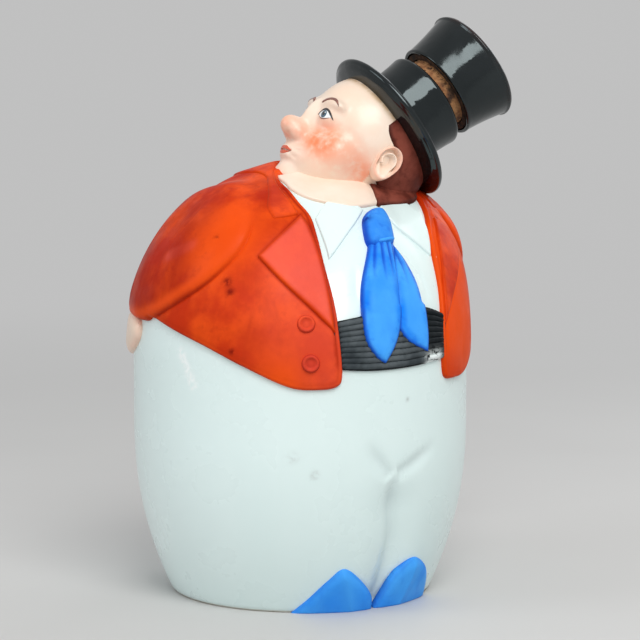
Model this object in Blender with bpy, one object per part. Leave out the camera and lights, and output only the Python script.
"""Painted porcelain flask: a stout gentleman in a red coat, whose top hat is the stopper.

Metres, +Z up. The origin is the centre of the flat foot, the figure's front is -Y and its right is -X.
"""
import math

import bmesh
import bpy
import numpy as np
from mathutils import Matrix, Vector
from mathutils.geometry import delaunay_2d_cdt

# Body: a turned form on a flat foot, closed by a dome at the shoulders
BODY_RADIUS = 0.0410
FOOT_RADIUS = 0.0318
FOOT_ROUND = 0.0007
BELLY_HEIGHT = 0.0420
SHOULDER_HEIGHT = 0.0580
BODY_HEIGHT = 0.1040
BELLY_POWER = 2.2
# The dome leans back and towards +X, where the head sits
LEAN_SIDE = 0.0060
LEAN_BACK = 0.0060
# How square the dome is, by degrees from the front: 2 is an ellipse, more is a squarer shoulder
DOME_POWERS = ((0, 1.92), (22, 1.88), (62, 2.75), (98, 2.35), (130, 2.10), (180, 2.10))
TOP_POWER = 2.1

# Wall of the casting, and how deep a relief is set into it
WALL = 0.0030
RELIEF_SINK = 0.0012

# Hat, whose axis leans back and away from the front of the body
HAT_LEAN = 57.3
HAT_TURN = -10.5
BRIM_OFFSET = 0.0223
BRIM_FORWARD = 0.0040
BRIM_RISE = 0.0084
BRIM_RADIUS = 0.0198
BRIM_THICKNESS = 0.0018
BRIM_CURL = 0.0016
CROWN_RADIUS = 0.0124
CROWN_WAIST = 0.0005
CROWN_HEIGHT = 0.0143
RIM_ROUND = 0.0012
# Brim, from the head outwards and back again: share of its radius, and of its curl
BRIM_UNDER_shares = ((0.62, 0), (0.80, 0.216), (0.92, 0.60))
BRIM_OVER_shares = ((0.86, 0.30), (0.74, 0))
# Side of the lower crown: share of its waist, and of its height
CROWN_SIDE_shares = ((1.0, 0.45), (0.5, 0.75))

# Stopper: cap, cork and cement on the hat's axis
CORK_GAP = 0.0003
CORK_TOP_RADIUS = 0.0095
CORK_END_RADIUS = 0.0087
CORK_DEPTH = 0.0120
CORK_BEVEL = 0.0006
CORK_SHOWN = 0.0029
CORK_IN_CAP = 0.0065
CAP_FOOT_RADIUS = 0.0122
CAP_TOP_RADIUS = 0.0145
CAP_HEIGHT = 0.0130
CAP_ROUND = 0.0016
CAP_TOP_WALL = 0.0035
CAP_LIP_share = 0.35
CAP_SIDE_shares = (0.3, 0.5, 0.7)
CAP_FLARE_POWER = 1.4
CEMENT_BACK = 0.0016
SEAT_GAP = 0.0003

# Head: forms blended into one skin, as shares of its height from chin to crown
HEAD_HEIGHT = 0.0370
HEAD_DROP = 0.0050
HEAD_PITCH = 34.0
HEAD_BLEND_share = 0.055
HEAD_MIDDLE_shares = (0.09, 0, -0.12)
# Each form is (forward, sideways, up) and its half sizes in the same order. Sideways ones come in pairs
HEAD_FORM_shares = (
    ((0.000, 0.000, 0.000), (0.446, 0.384, 0.432)),
    ((0.176, 0.000, -0.297), (0.297, 0.311, 0.284)),
    ((0.216, 0.203, -0.230), (0.149, 0.135, 0.149)),
    ((0.438, 0.000, -0.095), (0.059, 0.051, 0.135)),
    ((0.522, 0.000, -0.216), (0.081, 0.070, 0.070)),
    ((0.476, 0.065, -0.240), (0.054, 0.043, 0.046)),
    ((0.386, 0.135, 0.027), (0.059, 0.122, 0.043)),
    ((0.360, 0.140, -0.062), (0.070, 0.081, 0.065)),
    ((0.459, 0.000, -0.351), (0.043, 0.097, 0.024)),
    ((0.449, 0.000, -0.403), (0.043, 0.081, 0.027)),
    ((0.365, 0.000, -0.508), (0.097, 0.114, 0.092)),
)
EAR_HEIGHT = 0.0095
EAR_WIDTH = 0.0060
EAR_THICKNESS = 0.0028
EAR_BOWL = 0.0012
EAR_SPLAY = 0.35
EAR_PLACE_shares = (-0.030, 0.345, -0.135)
EAR_TAPER_share = 0.22
# Rows from the head over the rim into the bowl: share of the ear's outline, and of its thickness
EAR_ROW_shares = ((1.00, -1.0), (1.08, -0.2), (1.04, 0.55), (0.88, 0.95), (0.70, 0.80), (0.50, 0.25),
                  (0.24, 0.10))
EAR_BOWL_share = 0.6
HAIR_LIFT = 0.0006
HAIR_RIM = 0.0008
HAIR_TOP_share = 0.16
HAIR_REACH_share = 0.42
THROAT_RADIUS = 0.0080
THROAT_OFFSET = 0.0085
THROAT_FORWARD = 0.0015
THROAT_DEPTH = 0.0130

# Degrees from the front of the middle of the coat's collar, which turns with the head
NECK_MIDDLE = 8.0

# Dress: how far each relief stands out, and the width of its rounded edge
COAT_LIFT = 0.0011
COAT_RIM = 0.0009
SLEEVE_LIFT = 0.0013
SLEEVE_RIM = 0.0060
LAPEL_LIFT = 0.0017
LAPEL_RIM = 0.0006
NECKBAND_LIFT = 0.0020
SHIRT_FLAP_LIFT = 0.0006
SHIRT_FLAP_RIM = 0.0005
TIE_LIFT = 0.0024
TIE_RIM = 0.0030
TIE_REAR_LIFT = 0.0015
KNOT_LIFT = 0.0030
KNOT_RIM = 0.0026
SHOE_LIFT = 0.0012
SHOE_RIM = 0.0030
HAND_LIFT = 0.0019
UNDER_HAND_LIFT = 0.0013
HAND_RIM = 0.0032
FINGER_WIDTH = 0.0027
FINGER_LIFT = 0.0027
FINGER_RIM_share = 0.9
TIP_ROUND_shares = (0.3, 0.7)
BUTTON_RADIUS = 0.0021
BUTTON_RISE = 0.0007
BUTTON_DISH = 0.0003
BUTTON_RING_shares = (0.88, 0.66, 0.52)
BELT_LIFT = 0.0009
BELT_RIB = 0.0005
BELT_RIBS = 9
CREASE_WIDTH = 0.0022
CREASE_DEPTH = 0.0009
LEG_CREASE_WIDTH = 0.0034
LEG_CREASE_DEPTH = 0.0014
CREASE_END_share = 0.10
CREASE_CLEAR_share = 0.3

# Outlines on the body: degrees from the front towards +X, and shares of the body's height
FRONT_EDGE_RIGHT_shares = ((-37, 0.940), (-32.5, 0.893), (-28, 0.852), (-25, 0.785), (-22.3, 0.712),
                           (-21, 0.640), (-20.3, 0.560))
FRONT_EDGE_LEFT_shares = ((54, 0.920), (42, 0.882), (34, 0.825), (25, 0.725), (20.5, 0.640), (20.3, 0.575))
HEM_RIGHT_shares = ((-22, 0.530), (-29, 0.523), (-38, 0.530), (-53, 0.574), (-68, 0.617), (-87, 0.655),
                    (-100, 0.690), (-120, 0.712), (-140, 0.700), (-160, 0.678), (-180, 0.670))
COAT_TOP_share = 0.9992
NECKBAND_TOP_share = 0.9950
SLEEVE_shares = (((-60, 0.935), (-56, 0.890), (-55, 0.850), (-58, 0.808), (-66, 0.755), (-76, 0.712),
                  (-88, 0.672), (-99, 0.652), (-112, 0.660), (-126, 0.664), (-138, 0.720), (-143, 0.800),
                  (-134, 0.885), (-115, 0.940), (-90, 0.962), (-72, 0.962)),)
LAPEL_shares = (((-22.6, 0.645), (-30.7, 0.697), (-39.7, 0.748), (-50.3, 0.809)),
                ((-50.3, 0.809), (-44, 0.852), (-36.5, 0.893)),
                ((-36.5, 0.893), (-32, 0.866), (-27, 0.800), (-24.3, 0.730), (-22.6, 0.645)))
NOTCH_shares = ((-34, 0.915), (-39, 0.897), (-47.5, 0.882))
NECKBAND_shares = ((-47.5, 0.882), (-51, 0.925), (-60, 0.955), (-80, 0.968), (-110, 0.965), (-145, 0.952),
                   (-180, 0.946))
SHIRT_FLAP_shares = (((0, 0.905), (-12.7, 0.858), (-23.2, 0.803)),
                     ((-23.2, 0.803), (-24.8, 0.840), (-28.5, 0.890)),
                     ((-28.5, 0.890), (-20, 0.925), (-8, 0.930), (0, 0.905)))
SHIRT_FLAP_LEFT_shares = (((30, 0.797), (24.8, 0.828), (17, 0.864), (13, 0.905)),
                          ((13, 0.905), (22, 0.930), (34, 0.925), (40, 0.890)),
                          ((40, 0.890), (36, 0.845), (30, 0.797)))
TIE_FRONT_shares = (((-6, 0.578), (-9, 0.592), (-12.5, 0.630), (-13, 0.690), (-11.3, 0.755), (-5.5, 0.826)),
                    ((-5.5, 0.826), (1, 0.835), (7.8, 0.832)),
                    ((7.8, 0.832), (5.2, 0.789), (2.6, 0.715), (0.7, 0.660), (-2.2, 0.614), (-6, 0.578)))
TIE_REAR_shares = (((11.5, 0.595), (12.6, 0.640), (13.3, 0.727), (11.5, 0.783), (8, 0.835)),
                   ((8, 0.835), (2, 0.760), (0, 0.650)),
                   ((0, 0.650), (3.7, 0.621), (11.5, 0.595)))
KNOT_shares = (((-5, 0.826), (-5.6, 0.852), (-3, 0.886), (3.5, 0.900), (9.5, 0.898), (11.5, 0.880),
                (9.8, 0.852), (7, 0.826), (1, 0.820)),)
SHOE_RIGHT_shares = ((-38, 0), (-31, 0.035), (-23.5, 0.080), (-17.5, 0.107), (-10, 0.075), (-4, 0.035),
                     (-2.2, 0))
SHOE_LEFT_shares = ((-1.2, 0), (3.7, 0.066), (9, 0.100), (14.2, 0.113), (20, 0.098), (26.5, 0.066), (34, 0))
HAND_RIGHT_shares = (((-106, 0.655), (-103, 0.615), (-112, 0.575), (-128, 0.552), (-148, 0.538),
                      (-164, 0.536), (-170, 0.560), (-169, 0.605), (-160, 0.634), (-143, 0.652),
                      (-125, 0.668)),)
HAND_LEFT_shares = (((106, 0.655), (103, 0.615), (112, 0.578), (128, 0.560), (148, 0.552), (170, 0.556),
                     (178, 0.585), (170, 0.620), (148, 0.645), (125, 0.668)),)
# Fingers of the upper hand: height, and the angle that the tip reaches, from the first finger down
FINGER_shares = ((0.622, -190), (0.598, -195), (0.573, -194), (0.550, -188))
FINGER_ROOT = -158.0
BUTTON_shares = ((-32.3, 0.667), (-30.7, 0.583))
BELT_EDGE_shares = (0.566, 0.678)
BELT_SPREAD = 25.0
LEG_CREASE_shares = ((-2.5, 0.325), (-1.8, 0.240), (-1.6, 0.150), (-2.4, 0.060), (-2.8, 0.012))
FOLD_LEFT_shares = ((-1.5, 0.322), (4, 0.338), (9, 0.362), (14, 0.392))
FOLD_RIGHT_shares = ((-3.5, 0.328), (-7, 0.352), (-10.5, 0.392))
HAIR_EDGE_shares = ((101, 0.100), (106, -0.020), (113, -0.130), (112, -0.250), (103, -0.360), (112, -0.500),
                    (135, -0.700), (180, -0.800))

# How finely the skins are drawn
TURNS = 48
BODY_RINGS = 10
DOME_RINGS = 14
STEP = 0.0048
NECKBAND_STEP = 0.0061
KNOT_STEP = 0.0028
HAT_TURNS = 36
HEAD_TURNS = 34
HEAD_RINGS = 26
HEAD_HALVINGS = 26
FACE_CROWDING = 0.45
EAR_TURNS = 16
BUTTON_TURNS = 14
OVERRUN = 0.0020
SKIN_NUDGE_share = 0.004
# Reliefs: how much of its lift an edge keeps, and how far rings and grid stay from the outline
EDGE_LIFT_share = 0.12
RING_KEPT_share = 0.9
GRID_CLEAR_share = 0.6
# Forms whose edges run so close to another form's that they are joined with more care
CLOSE_EDGED = ("shirt_flap", "ear")

COLOURS = {
    "porcelain": ((0.86, 0.90, 0.88, 1.0), 0.18, 0.0),
    "black_glaze": ((0.012, 0.013, 0.015, 1.0), 0.20, 0.0),
    "cork": ((0.42, 0.22, 0.10, 1.0), 0.85, 0.0),
    "plaster": ((0.72, 0.70, 0.64, 1.0), 0.90, 0.0),
}


def clear_scene():
    for item in list(bpy.data.objects):
        bpy.data.objects.remove(item, do_unlink=True)


def finish(name):
    colour, roughness, metallic = COLOURS[name]
    made = bpy.data.materials.new(name)
    made.use_nodes = True
    shader = made.node_tree.nodes["Principled BSDF"]
    shader.inputs["Base Color"].default_value = colour
    shader.inputs["Roughness"].default_value = roughness
    shader.inputs["Metallic"].default_value = metallic
    return made


def solid(name, points, faces, material=None):
    """One closed mesh object with its faces turned outwards."""
    mesh = bpy.data.meshes.new(name)
    mesh.from_pydata([tuple(p) for p in points], [], [tuple(f) for f in faces])
    form = bmesh.new()
    form.from_mesh(mesh)
    bmesh.ops.recalc_face_normals(form, faces=form.faces)
    form.to_mesh(mesh)
    form.free()
    mesh.shade_smooth()
    if material:
        mesh.materials.append(material)
    made = bpy.data.objects.new(name, mesh)
    bpy.context.scene.collection.objects.link(made)
    return made


def combine(target, tool, operation, careful=False):
    """Join a tool to the target, or cut it out, and keep the tool as a hidden guide."""
    step = target.modifiers.new(tool.name, "BOOLEAN")
    step.operation = operation
    step.solver = "EXACT"
    step.use_self = careful
    step.object = tool
    tool.hide_render = True
    tool.display_type = "WIRE"
    tool.parent = target


def band_faces(rings, turns):
    """The faces between rings of points that lie one above the other."""
    faces = []
    for ring in range(rings - 1):
        low, high = ring * turns, (ring + 1) * turns
        faces += [(low + k, low + (k + 1) % turns, high + (k + 1) % turns, high + k) for k in range(turns)]
    return faces


def smooth_key(value, keys):
    """A value read from a table of keys, eased between them."""
    for (a, first), (b, second) in zip(keys, keys[1:]):
        if value <= b:
            t = (value - a) / (b - a)
            return first + (second - first) * t * t * (3 - 2 * t)
    return keys[-1][1]


def dome_rise(height):
    return min(max(height - SHOULDER_HEIGHT, 0) / (BODY_HEIGHT - SHOULDER_HEIGHT), 1)


def body_radius(angle, height):
    """Distance of the skin from the axis at an angle from the front (radians) and a height."""
    if height <= SHOULDER_HEIGHT:
        share = 1 - max(0, 1 - max(height, 0) / BELLY_HEIGHT) ** BELLY_POWER
        return FOOT_RADIUS + (BODY_RADIUS - FOOT_RADIUS) * share
    turned = abs((math.degrees(angle) + 180) % 360 - 180)
    rise = dome_rise(height)
    power = smooth_key(turned, DOME_POWERS)
    power += (TOP_POWER - power) * rise ** 6
    return BODY_RADIUS * (1 - rise ** power) ** (1 / power)


def up_skin(height):
    """Distance run up the skin, in body radii, so that the dome is spread evenly."""
    if height <= SHOULDER_HEIGHT:
        return height / BODY_RADIUS
    dome = BODY_HEIGHT - SHOULDER_HEIGHT
    return (SHOULDER_HEIGHT + dome * math.asin(dome_rise(height))) / BODY_RADIUS


def height_of(run):
    if run * BODY_RADIUS <= SHOULDER_HEIGHT:
        return run * BODY_RADIUS
    dome = BODY_HEIGHT - SHOULDER_HEIGHT
    return SHOULDER_HEIGHT + dome * math.sin(min((run * BODY_RADIUS - SHOULDER_HEIGHT) / dome, math.pi / 2))


def body_point(angle, height):
    radius = body_radius(angle, height)
    lean = dome_rise(height) ** 2
    return Vector((LEAN_SIDE * lean + radius * math.sin(angle),
                   LEAN_BACK * lean - radius * math.cos(angle), height))


def body_skin(angle, run, lift):
    """A point on the body's skin, moved out along the skin's normal."""
    nudge = SKIN_NUDGE_share
    run = min(run, up_skin(BODY_HEIGHT) - nudge)
    spot = body_point(angle, height_of(run))
    across = body_point(angle + nudge, height_of(run)) - body_point(angle - nudge, height_of(run))
    along = body_point(angle, height_of(run + nudge)) - body_point(angle, height_of(run - nudge))
    spot += across.cross(along).normalized() * lift
    spot.z = max(spot.z, 0)
    return spot


def on_body(shares):
    """Outline points in the unrolled plane of the body's skin."""
    return [(math.radians(angle), up_skin(share * BODY_HEIGHT)) for angle, share in shares]


def mirrored(sides):
    """The sides of an outline turned over to the other side of the figure."""
    return [[(-angle, share) for angle, share in reversed(side)] for side in reversed(sides)]


def eased(points, closed=True, pieces=3):
    """A smooth curve through hand-placed points."""
    count = len(points)
    curve = []
    spans = count if closed else count - 1
    for i in range(spans):
        if closed:
            a, b, c, d = (np.array(points[(i + k) % count], float) for k in (-1, 0, 1, 2))
        else:
            a, b, c, d = (np.array(points[min(max(i + k, 0), count - 1)], float) for k in (-1, 0, 1, 2))
        for step in range(pieces):
            t = step / pieces
            curve.append(0.5 * (2 * b + (c - a) * t + (2 * a - 5 * b + 4 * c - d) * t ** 2
                                + (3 * b - a - 3 * c + d) * t ** 3))
    if not closed:
        curve.append(np.array(points[-1], float))
    return curve


def evenly(points, spacing):
    """The outline with its long sides split to about one spacing."""
    placed = []
    for start, end in zip(points, points[1:] + points[:1]):
        start, end = np.array(start, float), np.array(end, float)
        parts = max(1, round(float(np.linalg.norm(end - start)) / spacing))
        placed += [start + (end - start) * k / parts for k in range(parts)]
    return np.array(placed)


def edge_distance(spots, outline):
    """Distance of each spot from the closed outline."""
    a = outline
    b = np.roll(outline, -1, axis=0)
    side = b - a
    gap = spots[:, None, :] - a[None]
    t = np.clip((gap * side).sum(-1) / np.maximum((side ** 2).sum(-1), 1e-12), 0, 1)
    return np.linalg.norm(gap - t[..., None] * side, axis=-1).min(axis=1)


def inside(spots, outline):
    a = outline
    b = np.roll(outline, -1, axis=0)
    x, y = spots[:, 0:1], spots[:, 1:2]
    crosses = (a[:, 1] > y) != (b[:, 1] > y)
    flat = np.where(b[:, 1] == a[:, 1], 1, b[:, 1] - a[:, 1])
    where = a[:, 0] + (y - a[:, 1]) * (b[:, 0] - a[:, 0]) / flat
    return (crosses & (x < where)).sum(axis=1) % 2 == 1


def relief(name, outline, lift, rim, skin, spacing=STEP, unit=None, sink=RELIEF_SINK, rings=2):
    """A closed pad on a skin: full height inside, rounded off within one rim of its outline."""
    unit = unit or BODY_RADIUS
    spacing = spacing / unit
    rim = rim / unit
    outline = evenly(outline, spacing)
    area = (outline[:, 0] * np.roll(outline[:, 1], -1) - np.roll(outline[:, 0], -1) * outline[:, 1]).sum()
    if area < 0:
        outline = outline[::-1]
    before = outline - np.roll(outline, 1, axis=0)
    after = np.roll(outline, -1, axis=0) - outline
    inward = before / np.linalg.norm(before, axis=1)[:, None] + after / np.linalg.norm(after, axis=1)[:, None]
    inward = np.stack([-inward[:, 1], inward[:, 0]], axis=1)
    inward /= np.linalg.norm(inward, axis=1)[:, None]
    spots = [outline]
    for ring in range(1, rings + 1):
        depth = rim * (1 - math.cos(math.pi / 2 * ring / rings))
        moved = outline + inward * depth
        keep = inside(moved, outline) & (edge_distance(moved, outline) > depth * RING_KEPT_share)
        if ring == rings > 1:
            keep &= np.arange(len(moved)) % 2 == 0
        spots.append(moved[keep])
    low, high = outline.min(axis=0), outline.max(axis=0)
    grid = [(x + (row % 2) * spacing / 2, y)
            for row, y in enumerate(np.arange(low[1], high[1], spacing * math.sqrt(3) / 2))
            for x in np.arange(low[0], high[0], spacing)]
    grid = np.array(grid)
    clear = rim + spacing * GRID_CLEAR_share
    spots.append(grid[inside(grid, outline) & (edge_distance(grid, outline) > clear)])
    flat = np.concatenate(spots)
    edges = [(k, (k + 1) % len(outline)) for k in range(len(outline))]
    made = delaunay_2d_cdt([Vector(p) for p in flat], edges, [list(range(len(outline)))], 1, 1e-6)
    flat = np.array([tuple(p) for p in made[0]])
    faces = made[2]
    depth = np.clip(edge_distance(flat, outline) / rim, 0, 1)
    height = np.sqrt(1 - (1 - depth) ** 2)
    count = len(flat)
    low = EDGE_LIFT_share
    points = [skin(x, y, lift * (low + (1 - low) * h)) for (x, y), h in zip(flat, height)]
    points += [skin(x, y, -sink) for x, y in flat]
    sides = {}
    for face in faces:
        for a, b in zip(face, face[1:] + face[:1]):
            sides[(a, b)] = True
    walls = [(b, a, a + count, b + count) for a, b in sides if (b, a) not in sides]
    under = [tuple(k + count for k in reversed(face)) for face in faces]
    return solid(name, points, [tuple(f) for f in faces] + under + walls)


def turned(name, profile, turns, place, material=None):
    """A turned solid from (radius, height) points; a zero radius closes it on the axis."""
    points = []
    rings = []
    for radius, height in profile:
        if radius <= 0:
            rings.append([len(points)])
            points.append(place @ Vector((0, 0, height)))
            continue
        rings.append(list(range(len(points), len(points) + turns)))
        for k in range(turns):
            angle = math.tau * k / turns
            points.append(place @ Vector((radius * math.cos(angle), radius * math.sin(angle), height)))
    faces = []
    closed = profile[0][0] > 0
    pairs = list(zip(rings, rings[1:])) + ([(rings[-1], rings[0])] if closed else [])
    for low, high in pairs:
        for k in range(turns):
            n = (k + 1) % turns
            if len(low) == 1:
                faces.append((low[0], high[n], high[k]))
            elif len(high) == 1:
                faces.append((low[k], low[n], high[0]))
            else:
                faces.append((low[k], low[n], high[n], high[k]))
    return solid(name, points, faces, material)


def body_form(name, inset, turns, body_rings, dome_rings):
    """The body as a closed loft, or the hollow inside it when it is inset."""
    floor = inset
    runs = [(up_skin(SHOULDER_HEIGHT) - floor / BODY_RADIUS) * k / body_rings + floor / BODY_RADIUS
            for k in range(body_rings + 1)]
    top = up_skin(BODY_HEIGHT)
    runs += [runs[-1] + (top - runs[-1]) * k / dome_rings for k in range(1, dome_rings)]
    points = []
    if not inset:
        for k in range(turns):
            angle = math.tau * k / turns
            rim = body_radius(angle, 0) - FOOT_ROUND
            points.append(Vector((rim * math.sin(angle), -rim * math.cos(angle), 0)))
        runs[0] = FOOT_ROUND / BODY_RADIUS
    for run in runs:
        for k in range(turns):
            points.append(body_skin(math.tau * k / turns, run, -inset))
    rings = len(points) // turns
    faces = band_faces(rings, turns)
    faces.append(tuple(range(turns)))
    points.append(Vector((LEAN_SIDE, LEAN_BACK, BODY_HEIGHT - inset)))
    last = (rings - 1) * turns
    faces += [(last + k, last + (k + 1) % turns, len(points) - 1) for k in range(turns)]
    return solid(name, points, faces)


def hat_frame():
    """Where the hat sits: its origin in the middle of the brim, its Z axis along the hat."""
    lean, turn = math.radians(HAT_LEAN), math.radians(HAT_TURN)
    axis = Vector((math.sin(lean) * math.cos(turn), math.sin(lean) * math.sin(turn), math.cos(lean)))
    across = Vector((-math.sin(turn), math.cos(turn), 0))
    frame = Matrix((across, axis.cross(across), axis)).transposed().to_4x4()
    frame.translation = Vector((BRIM_OFFSET, -BRIM_FORWARD, BODY_HEIGHT + BRIM_RISE))
    return frame


def head_frame():
    """The head's own axes, forward, sideways and up, from the middle of the skull."""
    hat = hat_frame()
    turn, pitch = math.radians(HAT_TURN), math.radians(HEAD_PITCH)
    level = Vector((-math.cos(turn), -math.sin(turn), 0))
    forward = level * math.cos(pitch) + Vector((0, 0, math.sin(pitch)))
    up = Vector((0, 0, math.cos(pitch))) - level * math.sin(pitch)
    frame = Matrix((forward, up.cross(forward), up)).transposed().to_4x4()
    frame.translation = hat.translation - hat.col[2].to_3d() * HEAD_DROP
    return frame


def head_field(spots):
    """Signed distance, in head heights, from the blended forms of the head."""
    forms = []
    for centre, half in HEAD_FORM_shares:
        for side in ((1,) if centre[1] == 0 else (1, -1)):
            forms.append((np.array((centre[0], centre[1] * side, centre[2])), np.array(half)))
    total = None
    for centre, half in forms:
        scaled = (spots - centre) / half
        length = np.linalg.norm(scaled, axis=1)
        steep = np.linalg.norm(scaled / half, axis=1)
        away = length * (length - 1) / np.maximum(steep, 1e-9)
        if total is None:
            total = away
            continue
        blend = HEAD_BLEND_share
        mix = np.maximum(blend - np.abs(total - away), 0) / blend
        total = np.minimum(total, away) - mix ** 2 * blend / 4
    return total


class Head:
    """The head's skin, seen from a middle point below the skull, round the hat's axis."""

    def __init__(self):
        self.frame = head_frame()
        self.middle = np.array(HEAD_MIDDLE_shares)
        axis = self.frame.to_3x3().inverted() @ hat_frame().col[2].to_3d()
        self.axis = np.array(axis.normalized())
        face = np.array((1.0, 0, 0)) - self.axis * self.axis[0]
        self.face = face / np.linalg.norm(face)
        self.side = np.cross(self.axis, self.face)
        self.cut = HEAD_DROP / HEAD_HEIGHT

    def reach(self, angle, rise):
        """Directions and skin distances for angles from the face and rises towards the hat."""
        level = np.cos(angle)[:, None] * self.face + np.sin(angle)[:, None] * self.side
        way = np.cos(rise)[:, None] * level + np.sin(rise)[:, None] * self.axis
        low = np.zeros(len(way))
        high = np.ones(len(way))
        for _ in range(HEAD_HALVINGS):
            mid = (low + high) / 2
            out = head_field(self.middle + way * mid[:, None]) > 0
            high = np.where(out, mid, high)
            low = np.where(out, low, mid)
        climb = way @ self.axis
        room = self.cut - float(self.middle @ self.axis)
        limit = np.where(climb > 1e-6, room / np.maximum(climb, 1e-6), 9)
        return way, np.minimum((low + high) / 2, limit)

    def skin(self, angle, rise, lift):
        way, reach = self.reach(np.array([angle]), np.array([rise]))
        spot = self.middle + way[0] * (reach[0] + lift / HEAD_HEIGHT)
        return self.frame @ (Vector(spot) * HEAD_HEIGHT)

    def form(self, name, inset, turns, rings):
        """The head as a closed loft between its two hidden poles."""
        rises = [math.pi * (k / rings - 0.5) for k in range(1, rings)]
        angles = [math.tau * k / turns - FACE_CROWDING * math.sin(math.tau * k / turns) for k in range(turns)]
        angle, rise = (np.array(v).ravel() for v in np.meshgrid(angles, rises))
        way, reach = self.reach(angle, rise)
        spots = self.middle + way * (reach - inset / HEAD_HEIGHT)[:, None]
        points = [self.frame @ (Vector(s) * HEAD_HEIGHT) for s in spots]
        ends = [self.skin(0, -math.pi / 2, -inset), self.skin(0, math.pi / 2, -inset)]
        faces = band_faces(rings - 1, turns)
        low = len(points)
        last = (rings - 2) * turns
        faces += [(low, (k + 1) % turns, k) for k in range(turns)]
        faces += [(last + k, last + (k + 1) % turns, low + 1) for k in range(turns)]
        return solid(name, points + ends, faces)


def brim_profile():
    """Brim and lower crown, from the axis below, round the brim's curled edge, to the rim."""
    half = BRIM_THICKNESS / 2
    foot = CROWN_RADIUS - CROWN_WAIST
    profile = [(0, -half)]
    for share, curl in BRIM_UNDER_shares:
        profile.append((BRIM_RADIUS * share, -half + BRIM_CURL * curl))
    for degrees in range(-60, 151, 42):
        turn = math.radians(degrees)
        profile.append((BRIM_RADIUS - half + half * math.cos(turn), BRIM_CURL + half * math.sin(turn)))
    for share, curl in BRIM_OVER_shares:
        profile.append((BRIM_RADIUS * share, half + BRIM_CURL * curl))
    for degrees in range(0, 91, 30):
        turn = math.radians(degrees)
        profile.append((foot + RIM_ROUND * (1 - math.sin(turn)), half + RIM_ROUND * (1 - math.cos(turn))))
    for waist, rise in CROWN_SIDE_shares:
        profile.append((CROWN_RADIUS - CROWN_WAIST * waist, CROWN_HEIGHT * rise))
    for degrees in range(0, 91, 30):
        turn = math.radians(degrees)
        profile.append((CROWN_RADIUS - RIM_ROUND * (1 - math.cos(turn)),
                        CROWN_HEIGHT - RIM_ROUND * (1 - math.sin(turn))))
    profile.append((0, CROWN_HEIGHT))
    return profile


def cork_radius(height):
    """The cork's taper, measured along the hat's axis from the brim."""
    end = CROWN_HEIGHT - CORK_DEPTH
    top = CROWN_HEIGHT + CORK_SHOWN + CORK_IN_CAP
    return CORK_END_RADIUS + (CORK_TOP_RADIUS - CORK_END_RADIUS) * (height - end) / (top - end)


def make_bore():
    """The mouth's bore follows the cork's taper and opens into the hollow head."""
    end = CROWN_HEIGHT - CORK_DEPTH
    mouth = CROWN_HEIGHT + OVERRUN
    deep = -HEAD_DROP - WALL
    profile = [(0, deep), (cork_radius(end) + CORK_GAP, deep), (cork_radius(end) + CORK_GAP, end),
               (cork_radius(mouth) + CORK_GAP, mouth), (0, mouth)]
    return turned("bore_form", profile, HAT_TURNS, hat_frame())


def make_throat():
    """The passage from the hollow body up into the hollow head."""
    foot = Matrix.Translation((THROAT_OFFSET, -THROAT_FORWARD, BODY_HEIGHT - THROAT_DEPTH))
    rise = THROAT_DEPTH + BRIM_RISE - HEAD_DROP
    profile = [(0, 0), (THROAT_RADIUS, 0), (THROAT_RADIUS, rise), (0, rise)]
    return turned("throat_form", profile, HAT_TURNS // 2, foot)


def make_ear(head, side):
    """An oval shell with a raised rim and a hollow bowl, set on the side of the head."""
    forward, across, up = EAR_PLACE_shares
    centre = Vector((forward, across * side, up)) * HEAD_HEIGHT
    points = []
    turns = EAR_TURNS
    for share, rise in EAR_ROW_shares:
        for k in range(turns):
            angle = math.tau * k / turns
            narrow = 1 - EAR_TAPER_share * (1 - math.sin(angle)) / 2
            spot = Vector((-math.cos(angle) * EAR_WIDTH / 2 * share * narrow, 0,
                           math.sin(angle) * EAR_HEIGHT / 2 * share))
            spot.y = side * (EAR_THICKNESS * rise - (EAR_BOWL if share < EAR_BOWL_share else 0))
            spot.y -= side * spot.x * EAR_SPLAY
            points.append(head.frame @ (centre + spot))
    faces = band_faces(len(EAR_ROW_shares), turns)
    faces.append(tuple(range(turns)))
    faces.append(tuple((len(EAR_ROW_shares) - 1) * turns + k for k in range(turns)))
    return solid("ear_form", points, faces)


def make_hair(head):
    """A raised cap of hair round the back of the head, from behind one ear to behind the other."""
    half = [(math.radians(angle), share * math.pi / 2) for angle, share in HAIR_EDGE_shares]
    other = [(math.tau - a, b) for a, b in reversed(half[:-1])]
    rise = HAIR_TOP_share * math.pi / 2
    top = [(math.tau - half[0][0], rise), (half[0][0], rise)]
    outline = eased(half + other, closed=False, pieces=2) + [np.array(p) for p in top]
    return relief("hair_form", [tuple(p) for p in outline], HAIR_LIFT, HAIR_RIM, head.skin,
                  unit=HEAD_HEIGHT * HAIR_REACH_share, rings=1)


def coat_outline():
    """The coat's edge: up one front, across the neck, down the other front and round the hem."""
    left = [(a, b) for a, b in FRONT_EDGE_LEFT_shares]
    right = [(360 + a, b) for a, b in FRONT_EDGE_RIGHT_shares]
    hem_right = [(360 + a, b) for a, b in HEM_RIGHT_shares]
    hem_left = [(-a, b) for a, b in reversed(HEM_RIGHT_shares[:-1])]
    top = [(angle, COAT_TOP_share) for angle in (62, 110, 180, 250, 305)]
    lower = eased(on_body(right[-2:] + hem_right + hem_left + left[::-1][:2]), closed=False)
    sides = eased(on_body(left[::-1][1:]), closed=False) + [np.array(p) for p in on_body(top)]
    sides += eased(on_body(right[:-1]), closed=False)
    joined = sides[:-1] + lower[:-1]
    return [tuple(p) for p in joined]


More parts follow.
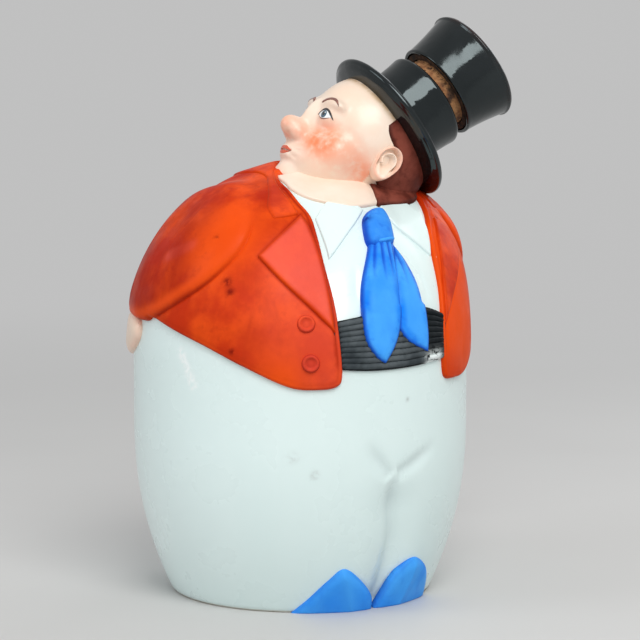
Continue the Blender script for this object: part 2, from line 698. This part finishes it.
def neckband_outline():
    """The coat's collar round the neck, its outer edge from notch to notch behind the head."""
    right = [(360 + a, b) for a, b in NECKBAND_shares]
    left = [(2 * NECK_MIDDLE - a, b) for a, b in reversed(NECKBAND_shares[:-1])]
    notch_right = eased(on_body([(360 + a, b) for a, b in NOTCH_shares]), closed=False)
    notch_left = eased(on_body([(2 * NECK_MIDDLE - a, b) for a, b in reversed(NOTCH_shares)]), closed=False)
    outer = notch_right[:-1] + eased(on_body(right + left), closed=False)[:-1] + notch_left
    top = on_body([(angle, NECKBAND_TOP_share) for angle in (60, 90, 120, 150, 180, 210, 245, 280, 315)])
    return [tuple(p) for p in outer] + top


def closed_outline(sides):
    """One smooth loop, or several smooth sides that meet in sharp corners."""
    if len(sides) == 1:
        return [tuple(p) for p in eased(on_body(sides[0]))]
    return [tuple(p) for side in sides for p in eased(on_body(side), closed=False)[:-1]]


def pad(name, sides, lift, rim, **options):
    return relief(name, closed_outline(sides), lift, rim, body_skin, **options)


def make_finger(share, tip):
    """One finger of the upper hand, laid over the lower hand."""
    half = FINGER_WIDTH / 2
    slope = math.degrees(half / BODY_RADIUS)
    middle = share * BODY_HEIGHT
    nearly = tip + slope * TIP_ROUND_shares[0]
    narrow = half * TIP_ROUND_shares[1]
    outline = [(FINGER_ROOT, middle + half), (tip + slope, middle + half), (nearly, middle + narrow),
               (tip, middle), (nearly, middle - narrow), (tip + slope, middle - half),
               (FINGER_ROOT, middle - half)]
    flat = [(math.radians(angle), up_skin(height)) for angle, height in outline]
    return relief("finger_form", flat, FINGER_LIFT, half * FINGER_RIM_share, body_skin, rings=1)


def make_belt():
    """The ribbed belt across the front, its ends under the coat."""
    low, high = (up_skin(share * BODY_HEIGHT) for share in BELT_EDGE_shares)
    columns = 9
    rows = BELT_RIBS * 2
    top, under = [], []
    for r in range(rows + 1):
        run = low + (high - low) * r / rows
        valley = BELT_RIB if r % 2 == 0 else 0
        for c in range(columns + 1):
            angle = math.radians(-BELT_SPREAD + 2 * BELT_SPREAD * c / columns)
            top.append(body_skin(angle, run, BELT_LIFT - valley))
            under.append(body_skin(angle, run, -RELIEF_SINK))
    wide = columns + 1
    count = len(top)
    faces = []
    for r in range(rows):
        for c in range(columns):
            a = r * wide + c
            faces.append((a, a + 1, a + 1 + wide, a + wide))
            faces.append((a + wide + count, a + 1 + wide + count, a + 1 + count, a + count))
    rim = [c for c in range(wide)] + [r * wide + columns for r in range(1, rows + 1)]
    rim += [rows * wide + c for c in range(columns - 1, -1, -1)] + [r * wide for r in range(rows - 1, 0, -1)]
    faces += [(b, a, a + count, b + count) for a, b in zip(rim, rim[1:] + rim[:1])]
    return solid("belt_form", top + under, faces)


def make_crease(name, shares, width, depth):
    """A cutter for a crease that runs along a path and dies away at both ends."""
    path = eased(on_body(shares), closed=False)
    points = []
    last = len(path) - 1
    for i, spot in enumerate(path):
        along = path[min(i + 1, last)] - path[max(i - 1, 0)]
        across = np.array((-along[1], along[0])) / np.linalg.norm(along)
        fade = max(CREASE_END_share, math.sin(math.pi * i / last) ** 0.5)
        half = across * width / 2 * fade / BODY_RADIUS
        points.append(body_skin(*(spot + half), depth * CREASE_CLEAR_share))
        points.append(body_skin(*spot, -depth * fade))
        points.append(body_skin(*(spot - half), depth * CREASE_CLEAR_share))
        points.append(body_skin(*spot, depth * 2))
    faces = [(i * 4 + k, i * 4 + (k + 1) % 4, (i + 1) * 4 + (k + 1) % 4, (i + 1) * 4 + k)
             for i in range(last) for k in range(4)]
    faces += [(0, 1, 2, 3), tuple(last * 4 + k for k in range(4))]
    return solid(name, points, faces)


def make_button(angle, share):
    """A coat button: a dished disc on the cloth."""
    run = up_skin(share * BODY_HEIGHT)
    spot = body_skin(math.radians(angle), run, COAT_LIFT)
    out = (body_skin(math.radians(angle), run, COAT_LIFT + BUTTON_RISE) - spot).normalized()
    place = out.to_track_quat("Z", "Y").to_matrix().to_4x4()
    place.translation = spot
    shoulder, crest, bowl = (BUTTON_RADIUS * share for share in BUTTON_RING_shares)
    profile = [(0, -RELIEF_SINK), (BUTTON_RADIUS, -RELIEF_SINK), (BUTTON_RADIUS, BUTTON_RISE / 2),
               (shoulder, BUTTON_RISE), (crest, BUTTON_RISE), (bowl, BUTTON_RISE - BUTTON_DISH),
               (0, BUTTON_RISE - BUTTON_DISH)]
    return turned("button_form", profile, BUTTON_TURNS, place)


def make_flask():
    """The casting: body, head, hat brim and neck in one shell, with the dress in relief."""
    flask = body_form("flask_body", 0, TURNS, BODY_RINGS, DOME_RINGS)
    flask.data.materials.append(finish("porcelain"))
    head = Head()
    added = [relief("coat_form", coat_outline(), COAT_LIFT, COAT_RIM, body_skin, rings=1)]
    for sides in (SLEEVE_shares, mirrored(SLEEVE_shares)):
        added.append(pad("sleeve_form", sides, COAT_LIFT + SLEEVE_LIFT, SLEEVE_RIM))
    for sides in (LAPEL_shares, mirrored(LAPEL_shares)):
        added.append(pad("lapel_form", sides, LAPEL_LIFT, LAPEL_RIM, rings=1))
    for sides in (SHIRT_FLAP_shares, SHIRT_FLAP_LEFT_shares):
        added.append(pad("shirt_flap_form", sides, SHIRT_FLAP_LIFT, SHIRT_FLAP_RIM, rings=1))
    added.append(relief("neckband_form", neckband_outline(), NECKBAND_LIFT, LAPEL_RIM, body_skin,
                        spacing=NECKBAND_STEP, rings=1))
    added.append(make_belt())
    added.append(pad("tie_rear_form", TIE_REAR_shares, TIE_REAR_LIFT, TIE_RIM))
    added.append(pad("tie_front_form", TIE_FRONT_shares, TIE_LIFT, TIE_RIM))
    added.append(pad("tie_knot_form", KNOT_shares, KNOT_LIFT, KNOT_RIM, spacing=KNOT_STEP))
    added.append(pad("hand_left_form", HAND_LEFT_shares, UNDER_HAND_LIFT, HAND_RIM))
    added.append(pad("hand_right_form", HAND_RIGHT_shares, HAND_LIFT, HAND_RIM))
    for share, tip in FINGER_shares:
        added.append(make_finger(share, tip))
    for shares in (SHOE_RIGHT_shares, SHOE_LEFT_shares):
        edge = [tuple(p) for p in eased(on_body(shares), closed=False)]
        added.append(relief("shoe_form", edge, SHOE_LIFT, SHOE_RIM, body_skin))
    for angle, share in BUTTON_shares:
        added.append(make_button(angle, share))
    added.append(head.form("head_form", 0, HEAD_TURNS, HEAD_RINGS))
    added.append(make_ear(head, 1))
    added.append(make_ear(head, -1))
    added.append(make_hair(head))
    added.append(turned("hat_form", brim_profile(), HAT_TURNS, hat_frame()))
    for form in added:
        combine(flask, form, "UNION", careful=form.name.startswith(CLOSE_EDGED))
    hollow = body_form("hollow_cutter", WALL, TURNS // 2, BODY_RINGS // 2, DOME_RINGS // 2)
    hollow_head = head.form("hollow_head_form", WALL, HEAD_TURNS // 2, HEAD_RINGS // 2)
    for form in (hollow_head, make_throat(), make_bore()):
        combine(hollow, form, "UNION", careful=True)
    cut = [make_crease("leg_crease_cutter", LEG_CREASE_shares, LEG_CREASE_WIDTH, LEG_CREASE_DEPTH),
           make_crease("fold_left_cutter", FOLD_LEFT_shares, CREASE_WIDTH, CREASE_DEPTH),
           make_crease("fold_right_cutter", FOLD_RIGHT_shares, CREASE_WIDTH, CREASE_DEPTH),
           hollow]
    for form in cut:
        combine(flask, form, "DIFFERENCE")
    return flask


def make_stopper():
    """Cap, cement and cork, all turned on the hat's axis, hung from one empty at the rim."""
    grip = bpy.data.objects.new("stopper_axis", None)
    bpy.context.scene.collection.objects.link(grip)
    grip.matrix_world = hat_frame() @ Matrix.Translation((0, 0, CROWN_HEIGHT))
    foot = CORK_SHOWN
    top = foot + CAP_HEIGHT
    socket = CORK_TOP_RADIUS + CEMENT_BACK + SEAT_GAP
    roof = top - CAP_TOP_WALL
    edge = CAP_FOOT_RADIUS - (CAP_FOOT_RADIUS - socket) * CAP_LIP_share
    flare = CAP_TOP_RADIUS - CAP_FOOT_RADIUS
    cap = [(0, roof), (socket, roof), (socket, foot), (edge, foot), (CAP_FOOT_RADIUS, foot + CAP_ROUND / 2)]
    for share in CAP_SIDE_shares:
        cap.append((CAP_FOOT_RADIUS + flare * share ** CAP_FLARE_POWER, foot + CAP_HEIGHT * share))
    for degrees in range(0, 91, 18):
        turn = math.radians(degrees)
        cap.append((CAP_TOP_RADIUS - CAP_ROUND * (1 - math.cos(turn)),
                    top - CAP_ROUND * (1 - math.sin(turn))))
    cap.append((0, top))
    made = [turned("stopper_crown", cap, HAT_TURNS, Matrix.Identity(4), finish("black_glaze"))]
    bottom = -CORK_DEPTH
    head = foot + CORK_IN_CAP

    def taper(height):
        return cork_radius(height + CROWN_HEIGHT)

    cork = [(0, bottom), (taper(bottom) - CORK_BEVEL, bottom), (taper(bottom), bottom + CORK_BEVEL)]
    cork += [(taper(h), h) for h in (0, foot)]
    cork += [(taper(head) - CORK_BEVEL / 2, head), (0, head)]
    made.append(turned("stopper_cork", cork, HAT_TURNS, Matrix.Identity(4), finish("cork")))
    lip = foot + SEAT_GAP
    fill = socket - SEAT_GAP
    cement = [(0, head + SEAT_GAP), (taper(head) + SEAT_GAP, head + SEAT_GAP), (taper(lip) + SEAT_GAP, lip),
              (fill, lip), (fill, roof - SEAT_GAP), (0, roof - SEAT_GAP)]
    made.append(turned("stopper_cement", cement, HAT_TURNS, Matrix.Identity(4), finish("plaster")))
    for piece in made:
        piece.parent = grip
    return made


clear_scene()
make_flask()
make_stopper()
bpy.context.view_layer.update()
